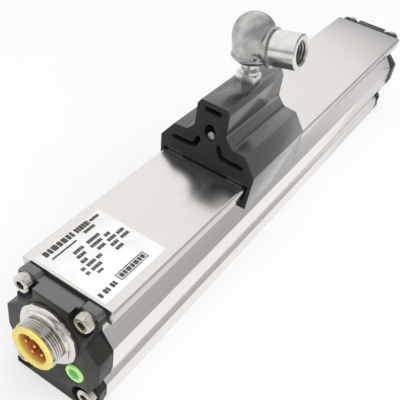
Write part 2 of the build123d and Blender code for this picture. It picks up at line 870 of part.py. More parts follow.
# Socket: a domed head open below, with a threaded shank that points to -Y, drawn level
# and then turned up by its rest tilt. Its mouth flares by the tilt that the neck needs,
# and a groove outside holds the safety clip
tilt = math.radians(socket_tilt_limit)
mouth_top_radius = neck_radius / math.cos(tilt) + socket_mouth_clearance
clip_radius = socket_head_radius + clip_wire_radius - clip_seat_depth
shank_groove_start = shank_ring_start + shank_ring_width
with BuildPart() as socket:
    with Locations((0, 0, socket_dome_rise)):
        Sphere(socket_head_radius)
        Cylinder(
            socket_head_radius,
            socket_dome_rise + socket_bottom_drop,
            align=(Align.CENTER, Align.CENTER, Align.MAX),
        )
    chamfer(socket.faces().sort_by(Axis.Z)[0].edges(), socket_bottom_chamfer)
    with BuildSketch(Plane.XZ):
        Circle(shank_radius)
    extrude(amount=shank_length)
    chamfer(socket.faces().sort_by(Axis.Y)[0].edges(), shank_end_chamfer)
    with BuildSketch(Plane.XZ.offset(shank_ring_start)):
        Circle(shank_ring_radius)
    extrude(amount=shank_ring_width)
    with BuildSketch(Plane.XZ.offset(shank_groove_start)):
        Circle(shank_ring_radius)
        Circle(shank_radius - shank_groove_depth, mode=Mode.SUBTRACT)
    extrude(amount=shank_groove_width, mode=Mode.SUBTRACT)
    Sphere(socket_cavity_radius, mode=Mode.SUBTRACT)
    with Locations((0, 0, -socket_bottom_drop)):
        Cylinder(
            socket_head_radius,
            socket_head_radius,
            align=(Align.CENTER, Align.CENTER, Align.MAX),
            mode=Mode.SUBTRACT,
        )
    with Locations((0, 0, -socket_bottom_drop / 2)):
        Cone(
            mouth_top_radius + socket_bottom_drop * math.tan(tilt),
            mouth_top_radius,
            socket_bottom_drop,
            mode=Mode.SUBTRACT,
        )
    with BuildSketch(Plane.XZ.offset(shank_length)):
        Circle(shank_bore_radius)
    extrude(amount=-shank_bore_depth, mode=Mode.SUBTRACT)
    mouth = socket.faces().sort_by(Axis.Y)[0].edges().sort_by(SortBy.RADIUS)[0]
    chamfer(mouth, shank_bore_chamfer)
    with Locations((0, 0, -clip_drop)):
        Torus(clip_radius, clip_wire_radius + clip_fit, mode=Mode.SUBTRACT)
socket_spot = Pos(ball_x, 0, ball_z) * Rot(-socket_rest_tilt, 0, 0)
socket_piece = socket_spot * socket.part
socket_piece.label = "ball_socket"
export_step(socket_piece, "parts/ball_socket.step")

# Safety clip: a spring wire that snaps round the head behind the shank, with an eye at
# one end, drawn with that end on +X and then turned to stand beside the shank
with BuildPart() as clip:
    with BuildSketch(Plane.XZ):
        with Locations((clip_radius, -clip_drop)):
            Circle(clip_wire_radius)
    revolve(axis=Axis((0, 0, 0), (0, 0, -1)), revolution_arc=360 - clip_gap_angle)
    with Locations((clip_radius + clip_eye_stand_off, 0, -clip_drop + clip_eye_radius)):
        Torus(clip_eye_radius, clip_wire_radius, rotation=(0, 90, 0))
clip_piece = socket_spot * Rot(0, 0, -90 - clip_gap_angle / 2) * clip.part
clip_piece.label = "safety_clip"
export_step(clip_piece, "parts/safety_clip.step")
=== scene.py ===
"""Dresses the linear displacement transducer: finishes, fine pieces, light and camera."""
import math

import bpy
from mathutils import Matrix, Vector


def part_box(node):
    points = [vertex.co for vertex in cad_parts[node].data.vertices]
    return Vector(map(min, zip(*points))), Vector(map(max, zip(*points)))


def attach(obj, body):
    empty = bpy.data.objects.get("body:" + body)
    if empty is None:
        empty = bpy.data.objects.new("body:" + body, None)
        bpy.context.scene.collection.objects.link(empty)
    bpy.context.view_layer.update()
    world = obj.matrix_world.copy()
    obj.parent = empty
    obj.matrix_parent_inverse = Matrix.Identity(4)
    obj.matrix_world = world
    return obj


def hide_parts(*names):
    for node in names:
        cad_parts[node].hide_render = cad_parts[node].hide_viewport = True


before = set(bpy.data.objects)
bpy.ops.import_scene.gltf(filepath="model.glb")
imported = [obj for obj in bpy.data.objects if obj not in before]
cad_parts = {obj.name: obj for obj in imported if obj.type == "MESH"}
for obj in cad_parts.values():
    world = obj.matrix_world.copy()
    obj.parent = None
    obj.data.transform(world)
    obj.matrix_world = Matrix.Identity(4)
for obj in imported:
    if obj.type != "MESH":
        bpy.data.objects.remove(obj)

bl_info = {
    "name": "Linear Displacement Transducer",
    "version": (1, 0, 0),
    "blender": (4, 5, 0),
    "location": "3D View > Sidebar > Transducer",
    "description": "Builds the looks of a rail-mounted displacement transducer round its solids",
    "category": "Add Mesh",
}

MM = 0.001
# How near two points are merged, on a copy of a solid and on a turned piece
SOLID_MERGE = 0.0005 * MM
TURNED_MERGE = 0.002 * MM
# Facets that meet flatter than this are one face
FLAT_ANGLE = math.radians(0.2)
# Most of a noise's values lie between these
NOISE_LOW, NOISE_HIGH = 0.3, 0.7
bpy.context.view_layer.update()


def colour_property(name, description, default):
    """A colour that a user may change."""
    return bpy.props.FloatVectorProperty(
        name=name, description=description, subtype="COLOR", size=3, min=0, max=1, default=default
    )


def length_property(name, description, default):
    """A length in metres that a user may change."""
    return bpy.props.FloatProperty(
        name=name, description=description, subtype="DISTANCE", unit="LENGTH", default=default
    )


class HousingSettings(bpy.types.PropertyGroup):
    """Sizes and colours of the extruded housing and its end caps."""

    edge_round: length_property("Edge round", "Rounding of the extrusion's edges", 0.2 * MM)
    cap_edge_round: length_property("Cap edge round", "Rounding of the end caps' edges", 0.25 * MM)
    bridge_drop: length_property("Bridge drop", "How far the bridge between the screws lies below them", 1.3 * MM)
    metal_colour: colour_property("Metal", "Brushed aluminium", (0.78, 0.75, 0.735))
    cap_colour: colour_property("Cap", "Black coat of the end caps", (0.017, 0.017, 0.014))


class ScrewSettings(bpy.types.PropertyGroup):
    """Sizes and colour of the cap screws."""

    top_spacing: length_property("Top half spacing", "Upper screws from the middle plane", 10.4 * MM)
    bottom_spacing: length_property("Bottom half spacing", "Lower screws from the middle plane", 11.5 * MM)
    head_radius: length_property("Head radius", "Radius of a screw's head", 2.75 * MM)
    head_height: length_property("Head height", "Height of a screw's head", 3.0 * MM)
    socket_flats: length_property("Socket across flats", "Hexagon socket across its flats", 2.5 * MM)
    socket_depth: length_property("Socket depth", "Depth of the hexagon socket", 2.0 * MM)
    ribs: bpy.props.IntProperty(name="Ribs", description="Ribs round a head", default=36, min=12)
    metal_colour: colour_property("Metal", "Bright plated steel", (0.68, 0.65, 0.57))


class ConnectorSettings(bpy.types.PropertyGroup):
    """Sizes and colours of the round connector and the status light."""

    core_radius: length_property("Core radius", "Barrel's radius at the thread's root", 6.75 * MM)
    crest_radius: length_property("Crest radius", "Barrel's radius over the thread", 7.2 * MM)
    shoulder_radius: length_property("Shoulder radius", "Radius of the step behind the thread", 8.5 * MM)
    bore_radius: length_property("Bore radius", "Inner radius of the shell", 5.7 * MM)
    flange_depth: length_property("Flange depth", "How far the flange stands off the cap", 2.0 * MM)
    shoulder_depth: length_property("Shoulder depth", "How far the shoulder stands off the cap", 2.9 * MM)
    thread_pitch: length_property("Thread pitch", "Distance from one thread turn to the next", 0.7 * MM)
    shell_colour: colour_property("Shell", "Nickel plate", (0.78, 0.75, 0.70))
    lip_colour: colour_property("Lip", "Yellow lip of the insert", (0.88, 0.76, 0.16))
    # The carrier's own orange, also used as painted shade and light through the plastic deep in the insert
    carrier_and_depth_shade_colour: colour_property("Depth", "Insert's colour deep in the socket", (0.62, 0.21, 0.08))
    rim_colour: colour_property("Light rim", "Pale rim of the status light", (0.50, 0.82, 0.26))
    core_colour: colour_property("Light core", "Core of the status light", (0.05, 0.42, 0.03))


class LabelSettings(bpy.types.PropertyGroup):
    """Colours and sizes of the type label."""

    film_colour: colour_property("Film", "White film", (0.90, 0.89, 0.88))
    print_colour: colour_property("Print", "Dark grey print", (0.07, 0.065, 0.06))
    print_thickness: length_property("Print thickness", "How proud the print stands", 0.012 * MM)


class CarriageSettings(bpy.types.PropertyGroup):
    """Colours and edge rounding of the carriage."""

    edge_round: length_property("Edge round", "Rounding of the carriage's edges", 0.22 * MM)
    coat_colour: colour_property("Coat", "Black anodised surface", (0.018, 0.019, 0.019))


class JointSettings(bpy.types.PropertyGroup):
    """Sizes and colours of the ball joint."""

    ball_place: bpy.props.FloatVectorProperty(
        name="Ball place", description="Centre of the ball", subtype="XYZ", unit="LENGTH",
        default=(-19.0 * MM, 0, 76.8 * MM),
    )
    shank_tilt: bpy.props.FloatProperty(
        name="Shank tilt", description="How far the shank points up at rest, in degrees", default=12
    )
    shank_length: length_property("Shank length", "From the ball's centre to the shank's mouth", 16.2 * MM)
    shank_bore: length_property("Shank bore", "Radius of the shank's bore", 3.4 * MM)
    shank_pitch: length_property("Shank pitch", "Pitch of the thread in the shank", 0.8 * MM)
    thread_depth: length_property("Thread depth", "Height of the thread in the shank", 0.4 * MM)
    steel_colour: colour_property("Steel", "Plated steel of socket and stud", (0.72, 0.72, 0.70))


class StageSettings(bpy.types.PropertyGroup):
    """Floor, light and camera."""

    floor_colour: colour_property("Floor", "Pale floor", (0.93, 0.93, 0.93))
    floor_white: bpy.props.FloatProperty(
        name="Floor white", description="Share of the floor that shows as white however it is lit", default=0.6,
        min=0, max=1, subtype="FACTOR",
    )
    fill_level: bpy.props.FloatProperty(
        name="Fill level", description="Brightness of the surround that lights the object", default=0.55, min=0
    )
    lens: bpy.props.FloatProperty(
        name="Lens", description="Focal length of the camera, in millimetres", default=58.42
    )
    azimuth: bpy.props.FloatProperty(
        name="Azimuth", description="Camera's turn round the object, in degrees", default=-62.4615
    )
    elevation: bpy.props.FloatProperty(
        name="Elevation", description="Camera's height above the horizon, in degrees", default=40.677
    )
    roll: bpy.props.FloatProperty(name="Roll", description="Camera's roll, in degrees", default=9.3053)
    place: bpy.props.FloatVectorProperty(
        name="Place", description="Where the camera stands", subtype="XYZ", unit="LENGTH",
        default=(-0.18715, -0.07768, 0.16952),
    )


# Small helpers for modelling
def take(*objects):
    """Selects these objects alone, the first one active."""
    bpy.ops.object.select_all(action="DESELECT")
    for each in objects:
        each.select_set(True)
    bpy.context.view_layer.objects.active = objects[0]


def edit(piece):
    """Opens a piece in edit mode with everything deselected."""
    take(piece)
    bpy.ops.object.mode_set(mode="EDIT")
    bpy.ops.mesh.select_all(action="DESELECT")


def close_edit():
    """Back to object mode."""
    bpy.ops.object.mode_set(mode="OBJECT")


def close_ends(piece, sides):
    """Fills the open ends of a piece."""
    edit(piece)
    bpy.ops.mesh.select_non_manifold()
    bpy.ops.mesh.fill_holes(sides=sides)
    close_edit()


def add_object(name, data):
    """A new object in the scene with this mesh, light or camera."""
    made = bpy.data.objects.new(name, data)
    bpy.context.scene.collection.objects.link(made)
    return made


def apply_modifier(piece, kind, **settings):
    """Adds one modifier and applies it."""
    take(piece)
    modifier = piece.modifiers.new(kind.title(), kind)
    for key, value in settings.items():
        setattr(modifier, key, value)
    bpy.ops.object.modifier_apply(modifier=modifier.name)


def round_edges(piece, width, degrees, **settings):
    """Rounds the edges that are sharper than the angle."""
    apply_modifier(
        piece, "BEVEL", width=width, segments=2, limit_method="ANGLE", angle_limit=math.radians(degrees), **settings
    )


def apply_place(piece):
    """Moves an object's place, turn and size into its mesh."""
    take(piece)
    bpy.ops.object.transform_apply(location=True, rotation=True, scale=True)


def smooth(piece, degrees):
    """Smooth shading that keeps edges sharper than the angle."""
    take(piece)
    bpy.ops.object.shade_smooth_by_angle(angle=math.radians(degrees))


def tidy_mesh(piece, merge=TURNED_MERGE):
    """Merges doubles and turns all faces outwards."""
    edit(piece)
    bpy.ops.mesh.select_all(action="SELECT")
    bpy.ops.mesh.remove_doubles(threshold=merge)
    bpy.ops.mesh.normals_make_consistent(inside=False)
    close_edit()


def join(name, pieces):
    """Joins pieces into one object of that name."""
    take(*pieces)
    bpy.ops.object.join()
    joined = bpy.context.view_layer.objects.active
    joined.name = name
    joined.data.name = name
    return joined


def solid_copy(node, name, rounding, degrees):
    """A smooth copy of one solid, with its flat facets merged and its edges rounded."""
    piece = add_object(name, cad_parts[node].data.copy())
    piece.data.materials.clear()
    edit(piece)
    bpy.ops.mesh.customdata_custom_splitnormals_clear()
    bpy.ops.mesh.select_all(action="SELECT")
    bpy.ops.mesh.remove_doubles(threshold=SOLID_MERGE)
    bpy.ops.mesh.dissolve_limited(angle_limit=FLAT_ANGLE)
    close_edit()
    if rounding:
        round_edges(piece, rounding, degrees, use_clamp_overlap=True, miter_outer="MITER_ARC")
    smooth(piece, degrees)
    return piece


def finish_piece(piece, material, body, slot, *nodes):
    """Gives a piece its material and its body, and hides the nodes that it stands for; the slot is not used."""
    piece.data.materials.clear()
    piece.data.materials.append(material)
    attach(piece, body)
    if nodes:
        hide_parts(*nodes)


def dress_solid(node, name, material, body, slot, rounding=0.0, degrees=30):
    """A finished copy of one solid, which takes the solid's place."""
    finish_piece(solid_copy(node, name, rounding, degrees), material, body, slot, node)


def turned(name, rings, sides):
    """A turned piece along Z: a circle drawn out through (distance, radius) rings."""
    at, size = rings[0]
    bpy.ops.object.select_all(action="DESELECT")
    bpy.ops.mesh.primitive_circle_add(vertices=sides, radius=size, location=(0, 0, at))
    piece = bpy.context.object
    piece.name = name
    apply_place(piece)
    edit(piece)
    bpy.ops.mesh.select_all(action="SELECT")
    for place, radius in rings[1:]:
        bpy.ops.mesh.extrude_region_move(TRANSFORM_OT_translate={"value": (0, 0, place - at)})
        grow = radius / size
        bpy.ops.transform.resize(value=(grow, grow, 1), center_override=(0, 0, place))
        at, size = place, radius
    close_edit()
    tidy_mesh(piece)
    return piece


def thread_ridge(name, root, crest, pitch, turns, steps=64):
    """A helical ridge of triangular section round Z, closed at both ends."""
    mesh = bpy.data.meshes.new(name)
    # The foot is a little narrower than the pitch, so that two turns stay apart
    foot = 0.98 * pitch
    points = [(root, 0, 0), (crest, 0, 0.5 * pitch), (root, 0, foot)]
    mesh.from_pydata(points, [(0, 1), (1, 2), (2, 0)], [])
    piece = add_object(name, mesh)
    apply_modifier(piece, "SCREW", screw_offset=pitch, iterations=turns, steps=steps, render_steps=steps)
    close_ends(piece, 3)
    tidy_mesh(piece)
    smooth(piece, 40)
    return piece


def stand(piece, place, direction):
    """Turns a piece from +Z to a direction and puts its origin at a place."""
    piece.rotation_mode = "QUATERNION"
    piece.rotation_quaternion = Vector(direction).to_track_quat("Z", "Y")
    piece.location = place
    apply_place(piece)
    return piece


# Nodes, for materials and for the surround
def add_node(tree, kind, **values):
    """Adds a node, setting its attributes."""
    made = tree.nodes.new(kind)
    for key, value in values.items():
        setattr(made, key, value)
    return made


def feed(tree, socket, value):
    """Links an input to an output, or sets its number or colour."""
    if isinstance(value, bpy.types.NodeSocket):
        tree.links.new(value, socket)
    else:
        socket.default_value = value


def add_math(tree, operation, *values):
    """The result of a maths node on outputs and numbers."""
    made = add_node(tree, "ShaderNodeMath", operation=operation)
    for socket, value in zip(made.inputs, values):
        feed(tree, socket, value)
    return made.outputs["Value"]


def add_mix(tree, factor, under, over, blend="MIX"):
    """One colour laid over another by a factor."""
    made = add_node(tree, "ShaderNodeMix", data_type="RGBA", blend_type=blend)
    for name, value in (("Factor", factor), ("A", under), ("B", over)):
        feed(tree, made.inputs[name], value)
    return made.outputs["Result"]


def add_share(tree, value, start, end):
    """A value's way from start to end, as 0 to 1."""
    made = add_node(tree, "ShaderNodeMapRange")
    for name, given in (("Value", value), ("From Min", start), ("From Max", end)):
        feed(tree, made.inputs[name], given)
    return made.outputs["Result"]


def add_ramp(tree, value, stops):
    """A colour ramp of (position, colour) stops."""
    made = add_node(tree, "ShaderNodeValToRGB")
    while len(made.color_ramp.elements) < len(stops):
        made.color_ramp.elements.new(0.5)
    for element, (position, colour) in zip(made.color_ramp.elements, stops):
        element.position = position
        element.color = (*colour, 1)
    feed(tree, made.inputs["Fac"], value)
    return made.outputs["Color"]


def greys(stops):
    """Stops of (position, brightness) as stops of (position, colour)."""
    return [(position, (level,) * 3) for position, level in stops]


def seen_ray(tree, *kinds):
    """1 for a ray from the camera or of one of these kinds, else 0."""
    path = add_node(tree, "ShaderNodeLightPath")
    seen = path.outputs["Is Camera Ray"]
    for kind in kinds:
        seen = add_math(tree, "MAXIMUM", seen, path.outputs[kind])
    return seen


class Finish:
    """A new material with short calls for its nodes."""

    def __init__(self, name, colour, metallic=0.0, roughness=0.5, **sockets):
        self.material = bpy.data.materials.new(name)
        self.material.use_nodes = True
        self.tree = self.material.node_tree
        self.shader = self.tree.nodes["Principled BSDF"]
        self.colour = colour
        self.shader.inputs["Base Color"].default_value = (*colour, 1)
        self.shader.inputs["Metallic"].default_value = metallic
        self.shader.inputs["Roughness"].default_value = roughness
        for socket, value in sockets.items():
            self.shader.inputs[socket.replace("_", " ")].default_value = value

    def node(self, kind, **values):
        """Adds a node, setting its attributes."""
        return add_node(self.tree, kind, **values)

    def link(self, source, target):
        """Joins an output to an input."""
        self.tree.links.new(source, target)

    def surface(self, socket, source):
        """Joins an output to one of the shader's inputs."""
        self.link(source, self.shader.inputs[socket])

    def place(self, stretch=(1, 1, 1), centre=(0, 0, 0), tilt=0.0):
        """The object's own coordinates about a centre, stretched and turned about X."""
        coordinates = self.node("ShaderNodeTexCoord")
        mapping = self.node("ShaderNodeMapping")
        moved = Vector([c * s for c, s in zip(centre, stretch)])
        mapping.inputs["Scale"].default_value = stretch
        mapping.inputs["Rotation"].default_value = (tilt, 0, 0)
        mapping.inputs["Location"].default_value = -(Matrix.Rotation(tilt, 3, "X") @ moved)
        self.link(coordinates.outputs["Object"], mapping.inputs["Vector"])
        return mapping.outputs["Vector"]

    def coordinate(self, axis, vector=None):
        """One coordinate of a vector, or else of the object's own place."""
        made = self.node("ShaderNodeSeparateXYZ")
        self.link(self.place() if vector is None else vector, made.inputs["Vector"])
        return made.outputs[axis]

    def length_of(self, vector):
        """A vector's length."""
        made = self.node("ShaderNodeVectorMath", operation="LENGTH")
        self.link(vector, made.inputs[0])
        return made.outputs["Value"]

    def share(self, value, start, end):
        """A value's way from start to end, as 0 to 1."""
        return add_share(self.tree, value, start, end)

    def noise(self, scale, detail, stretch=(1, 1, 1), roughness=0.5):
        """A noise's value."""
        made = self.node("ShaderNodeTexNoise")
        made.inputs["Scale"].default_value = scale
        made.inputs["Detail"].default_value = detail
        made.inputs["Roughness"].default_value = roughness
        self.link(self.place(stretch), made.inputs["Vector"])
        return made.outputs["Fac"]

    def ramp(self, value, stops):
        """A colour ramp of (position, colour) stops."""
        return add_ramp(self.tree, value, stops)

    def span(self, value, low, high):
        """A value mapped from 0..1 to low..high."""
        made = self.node("ShaderNodeMapRange")
        made.inputs["To Min"].default_value = low
        made.inputs["To Max"].default_value = high
        self.link(value, made.inputs["Value"])
        return made.outputs["Result"]

    def toned(self, level):
        """The finish's colour, darker or lighter by a factor."""
        return [min(1, c * level) for c in self.colour]

    def clouded(self, value, dark, light, low=NOISE_LOW, high=NOISE_HIGH):
        """The finish's colour, darkened and lightened by a noise."""
        return self.ramp(value, [(low, self.toned(dark)), (high, self.toned(light))])

    def shades(self, value, dark, light):
        """Gives the shader the finish's colour, darkened and lightened by a noise."""
        self.surface("Base Color", self.clouded(value, dark, light))

    def bands(self, value, stops):
        """Multiplies the base colour by a ramp of (position, brightness) stops."""
        base = self.shader.inputs["Base Color"].links[0].from_socket
        self.surface("Base Color", add_mix(self.tree, 1, base, self.ramp(value, greys(stops)), "MULTIPLY"))

    def rough(self, value, low, high):
        """Roughness that varies with a value."""
        self.surface("Roughness", self.span(value, low, high))

    def bump(self, value, strength, distance):
        """Fine relief from a value."""
        made = self.node("ShaderNodeBump")
        made.inputs["Strength"].default_value = strength
        made.inputs["Distance"].default_value = distance
        self.link(value, made.inputs["Height"])
        self.surface("Normal", made.outputs["Normal"])


def brushed_metal(name, colour, stretch, bands):
    """Metal brushed along the axis whose stretch is small, with painted light and shade in bands of (height,
    brightness).
    """
    finish = Finish(name, colour, metallic=1.0)
    lines = finish.noise(1500.0, detail=6.0, stretch=stretch, roughness=0.65)
    finish.shades(lines, 0.97, 1.03)
    top = bands[-1][0]
    # The bands paint light and shade: whole faces of the metal lighter or darker by their height
    finish.bands(finish.share(finish.coordinate("Z"), 0, top), [(z / top, brightness) for z, brightness in bands])
    finish.rough(finish.noise(500.0, detail=4.0, stretch=stretch), 0.18, 0.28)
    finish.bump(lines, 0.07, 0.02 * MM)
    return finish.material


def turned_metal(name, colour, roughness, scale):
    """Plated metal with slight cloudiness and fine scratches."""
    finish = Finish(name, colour, metallic=1.0)
    finish.shades(finish.noise(scale, detail=4.0), 0.86, 1.08)
    finish.rough(finish.noise(scale * 2.4, detail=5.0), *roughness)
    finish.bump(finish.noise(scale * 6, detail=3.0), 0.08, 0.03 * MM)
    return finish.material


def moulded(name, colour, roughness, grain=2500.0, strength=0.1):
    """Moulded plastic, rubber or paint with a fine grain."""
    finish = Finish(name, colour)
    finish.shades(finish.noise(grain / 12, detail=4.0), 0.9, 1.1)
    finish.rough(finish.noise(grain / 4, detail=3.0), *roughness)
    finish.bump(finish.noise(grain, detail=2.0), strength, 0.04 * MM)
    return finish.material


class TRANSDUCER_OT_housing(bpy.types.Operator):
    """Rounds and brushes the extruded housing, and paints light and shade on its faces by height"""

    bl_idname = "transducer.housing"
    bl_label = "Housing"

    # Painted light and shade, whole faces lighter or darker by height: height in mm and brightness there: foot, groove
    # and its slope, side face, shoulder to lip, top
    faces = [
        (0, 1.12), (6.9, 1.12), (7.1, 0.94), (16.7, 0.94), (16.9, 1.12), (24.9, 1.12), (25.1, 0.83), (39.4, 0.83),
        (40, 1.0),
    ]

    def execute(self, context):
        settings = context.scene.transducer_housing
        bands = [(height * MM, brightness) for height, brightness in self.faces]
        metal = brushed_metal("brushed_aluminium", settings.metal_colour, (0.02, 1, 1), bands)
        dress_solid("housing_extrusion", "housing_profile", metal, "housing", "brushed_aluminium", settings.edge_round)
        return {"FINISHED"}


class TRANSDUCER_OT_end_caps(bpy.types.Operator):
    """Rounds the two end caps and gives them their black coat"""

    bl_idname = "transducer.end_caps"
    bl_label = "End caps"

    # How strongly each cap's rubbed top faces reflect, as the coat's index of refraction
    shines = (("front", 2.2), ("rear", 1.0))

    def coat(self, name, settings, shine):
        """Black coat whose topmost faces are rubbed to that shine."""
        coat = Finish(name, settings.cap_colour, Specular_IOR_Level=0.35, Coat_IOR=shine, Coat_Roughness=0.2)
        coat.shades(coat.noise(150.0, detail=4.0), 0.9, 1.15)
        coat.rough(coat.noise(450.0, detail=3.0), 0.34, 0.46)
        coat.bump(coat.noise(1800.0, detail=2.0), 0.06, 0.04 * MM)
        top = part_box("front_end_cap")[1].z - settings.bridge_drop
        coat.surface("Coat Weight", coat.share(coat.coordinate("Z"), top - 0.25 * MM, top - 0.02 * MM))
        return coat.material

    def execute(self, context):
        settings = context.scene.transducer_housing
        for end, shine in self.shines:
            coat = self.coat(end + "_cap_coat", settings, shine)
            dress_solid(
                end + "_end_cap", end + "_cap_shell", coat, "housing", "black_cast_cap", settings.cap_edge_round
            )
        return {"FINISHED"}


class TRANSDUCER_OT_cap_screws(bpy.types.Operator):
    """Models one socket head screw and copies it to the four corner pockets of each cap"""

    bl_idname = "transducer.cap_screws"
    bl_label = "Cap screws"

    # Only what lies past this share of a head's radius is ribbed
    ribbed_from = 0.95
    # The radius in a valley between two ribs, as a share of the radius on a rib
    valley = 0.955
    # The painted shade in the socket: how deep it starts, its reach from the axis in shares of the flats, its
    # brightness
    recess_start = 0.15 * MM
    recess_reach = 0.55
    socket_shade_brightness = 0.3

    def head(self, settings):
        """A ribbed head with a hexagon socket, standing on Z 0."""
        sides = 2 * settings.ribs
        radius = settings.head_radius
        height = settings.head_height
        chamfer = 0.12 * height
        hole = radius / 50
        rings = [(0, hole), (0, radius), (height - chamfer, radius), (height, radius - chamfer), (height, hole)]
        head = turned("screw_head", rings, sides)
        close_ends(head, sides)
        for vertex in head.data.vertices:
            along = math.atan2(vertex.co.y, vertex.co.x) / (2 * math.pi) * sides
            out = vertex.co.xy.length > self.ribbed_from * radius
            vertex.select = out and round(along) % 2 == 1
        for face in head.data.polygons:
            face.select = False
        for edge in head.data.edges:
            edge.select = False
        take(head)
        bpy.ops.object.mode_set(mode="EDIT")
        bpy.ops.transform.resize(value=(self.valley, self.valley, 1), center_override=(0, 0, 0))
        close_edit()
        bpy.ops.object.select_all(action="DESELECT")
        bpy.ops.mesh.primitive_cylinder_add(
            vertices=6,
            radius=settings.socket_flats / 2 / math.cos(math.pi / 6),
            depth=2 * settings.socket_depth,
            location=(0, 0, height),
        )
        cutter = bpy.context.object
        apply_place(cutter)
        apply_modifier(head, "BOOLEAN", object=cutter, operation="DIFFERENCE", solver="EXACT")
        bpy.data.objects.remove(cutter)
        round_edges(head, 0.06 * MM, 40)
        smooth(head, 35)
        return head

    def execute(self, context):
        settings = context.scene.transducer_screws
        steel = turned_metal("bright_screw_steel", settings.metal_colour, (0.08, 0.2), 700.0)
        # Painted shade: a darker copy of the steel for the faces deep in each hexagon socket
        socket_shade_colour = [c * self.socket_shade_brightness for c in settings.metal_colour]
        recess = turned_metal("painted_shade_screw_recess", socket_shade_colour, (0.35, 0.5), 900.0)
        head = self.head(settings)
        for end, facing in (("front", -1), ("rear", 1)):
            low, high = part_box(end + "_cap_screws")
            face = low.x if facing < 0 else high.x
            seat = face - facing * settings.head_height
            bottom = low.z + settings.head_radius
            top = high.z - settings.head_radius
            copies = []
            for spacing, height in ((settings.top_spacing, top), (settings.bottom_spacing, bottom)):
                for side in (-1, 1):
                    copy = add_object("screw", head.data.copy())
                    copies.append(stand(copy, (seat, side * spacing, height), (facing, 0, 0)))
            screws = join(end + "_screw_heads", copies)
            finish_piece(screws, steel, "housing", "steel_screws", end + "_cap_screws")
            screws.data.materials.append(recess)
            # Faces deep in a socket and near its axis take the painted shade
            for polygon in screws.data.polygons:
                middle = polygon.center
                height = top if middle.z > (top + bottom) / 2 else bottom
                spacing = settings.top_spacing if height == top else settings.bottom_spacing
                off_axis = math.hypot(abs(middle.y) - spacing, middle.z - height)
                sunk = facing * (face - middle.x) > self.recess_start
                if sunk and off_axis < self.recess_reach * settings.socket_flats:
                    polygon.material_index = 1
        bpy.data.objects.remove(head)
        return {"FINISHED"}


class TRANSDUCER_OT_connector(bpy.types.Operator):
    """Turns the connector's threaded shell and finishes its insert, carrier and pins"""

    bl_idname = "transducer.connector"
    bl_label = "Connector"

    # The colour's brightness at the thread's root, against full brightness at the crest
    root_brightness = 0.55
    # How far the thread's ridge is sunk into the barrel, and its distance from the shoulder
    ridge_sink = 0.03 * MM
    ridge_start = 0.05 * MM

    def shell(self, settings):
        """The flange, the shoulder and the threaded barrel, standing on the cap's outer face."""
        low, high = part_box("connector_shell")
        cap_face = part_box("front_end_cap")[0].x
        length = cap_face - low.x
        flange = high.y
        bore = settings.bore_radius
        flange_top = settings.flange_depth
        shoulder_top = settings.shoulder_depth
        shoulder = settings.shoulder_radius
        core = settings.core_radius
        broken, chamfer, flange_chamfer = 0.15 * MM, 0.3 * MM, 0.6 * MM
        rings = [
            (0, bore),
            (0, flange - broken),
            (broken, flange),
            (flange_top - flange_chamfer, flange),
            (flange_top, flange - flange_chamfer),
            (flange_top, shoulder),
            (shoulder_top - 0.2 * MM, shoulder),
            (shoulder_top, shoulder - chamfer),
            (shoulder_top, core),
            (length - chamfer, core),
            (length, core - chamfer),
            (length, bore),
            (0, bore),
        ]
        shell = turned("connector_shell_turned", rings, 128)
        round_edges(shell, 0.08 * MM, 30)
        smooth(shell, 35)
        turns = int((length - shoulder_top) / settings.thread_pitch)
        ridge = thread_ridge(
            "barrel_thread", core - self.ridge_sink, settings.crest_radius, settings.thread_pitch, turns - 1, 96
        )
        ridge.location.z = shoulder_top + self.ridge_start
        apply_place(ridge)
        shell = join("connector_threaded_shell", [shell, ridge])
        middle = (low + high) / 2
        return stand(shell, (cap_face, middle.y, middle.z), (-1, 0, 0))

    def execute(self, context):
        settings = context.scene.transducer_connector
        nickel = Finish("nickel_plate_turned", settings.shell_colour, metallic=1.0)
        nickel.shades(nickel.noise(350.0, detail=4.0), 0.86, 1.08)
        nickel.rough(nickel.noise(840.0, detail=5.0), 0.07, 0.17)
        low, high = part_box("connector_shell")
        from_axis = nickel.length_of(nickel.place((0, 1, 1), (low + high) / 2))
        crest = nickel.share(from_axis, settings.core_radius + 0.05 * MM, settings.crest_radius)
        nickel.bands(crest, [(0.0, self.root_brightness), (1.0, 1.0)])
        finish_piece(self.shell(settings), nickel.material, "housing", "nickel_plate", "connector_shell")

        lip_front, lip_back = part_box("connector_insert")
        # Painted shade: the insert turns from its yellow lip to a darker orange deeper in the socket, standing for
        # shade and light seen through the yellow plastic
        plastic = Finish("yellow_plastic_with_painted_depth_shade", settings.lip_colour, roughness=0.35)
        depth = plastic.share(plastic.coordinate("X"), lip_front.x, lip_back.x)
        lip, deep = settings.lip_colour, settings.carrier_and_depth_shade_colour
        between = [(a + b) / 2 for a, b in zip(lip, deep)]
        plastic.surface("Base Color", plastic.ramp(depth, [(0.0, lip), (0.05, lip), (0.12, between), (0.3, deep)]))
        plastic.bump(plastic.noise(2600.0, detail=2.0), 0.05, 0.03 * MM)
        dress_solid(
            "connector_insert", "connector_insert_moulding", plastic.material, "housing", "yellow_plastic", 0.12 * MM
        )

        orange = moulded("orange_carrier_plastic", settings.carrier_and_depth_shade_colour, (0.35, 0.5))
        dress_solid("contact_carrier", "contact_carrier_disc", orange, "housing", "orange_plastic", 0.08 * MM)

        gold = turned_metal("gold_contact_plate", (0.85, 0.62, 0.30), (0.15, 0.25), 900.0)
        dress_solid("contact_pins", "contact_pin_set", gold, "housing", "gold_contacts", degrees=40)
        return {"FINISHED"}


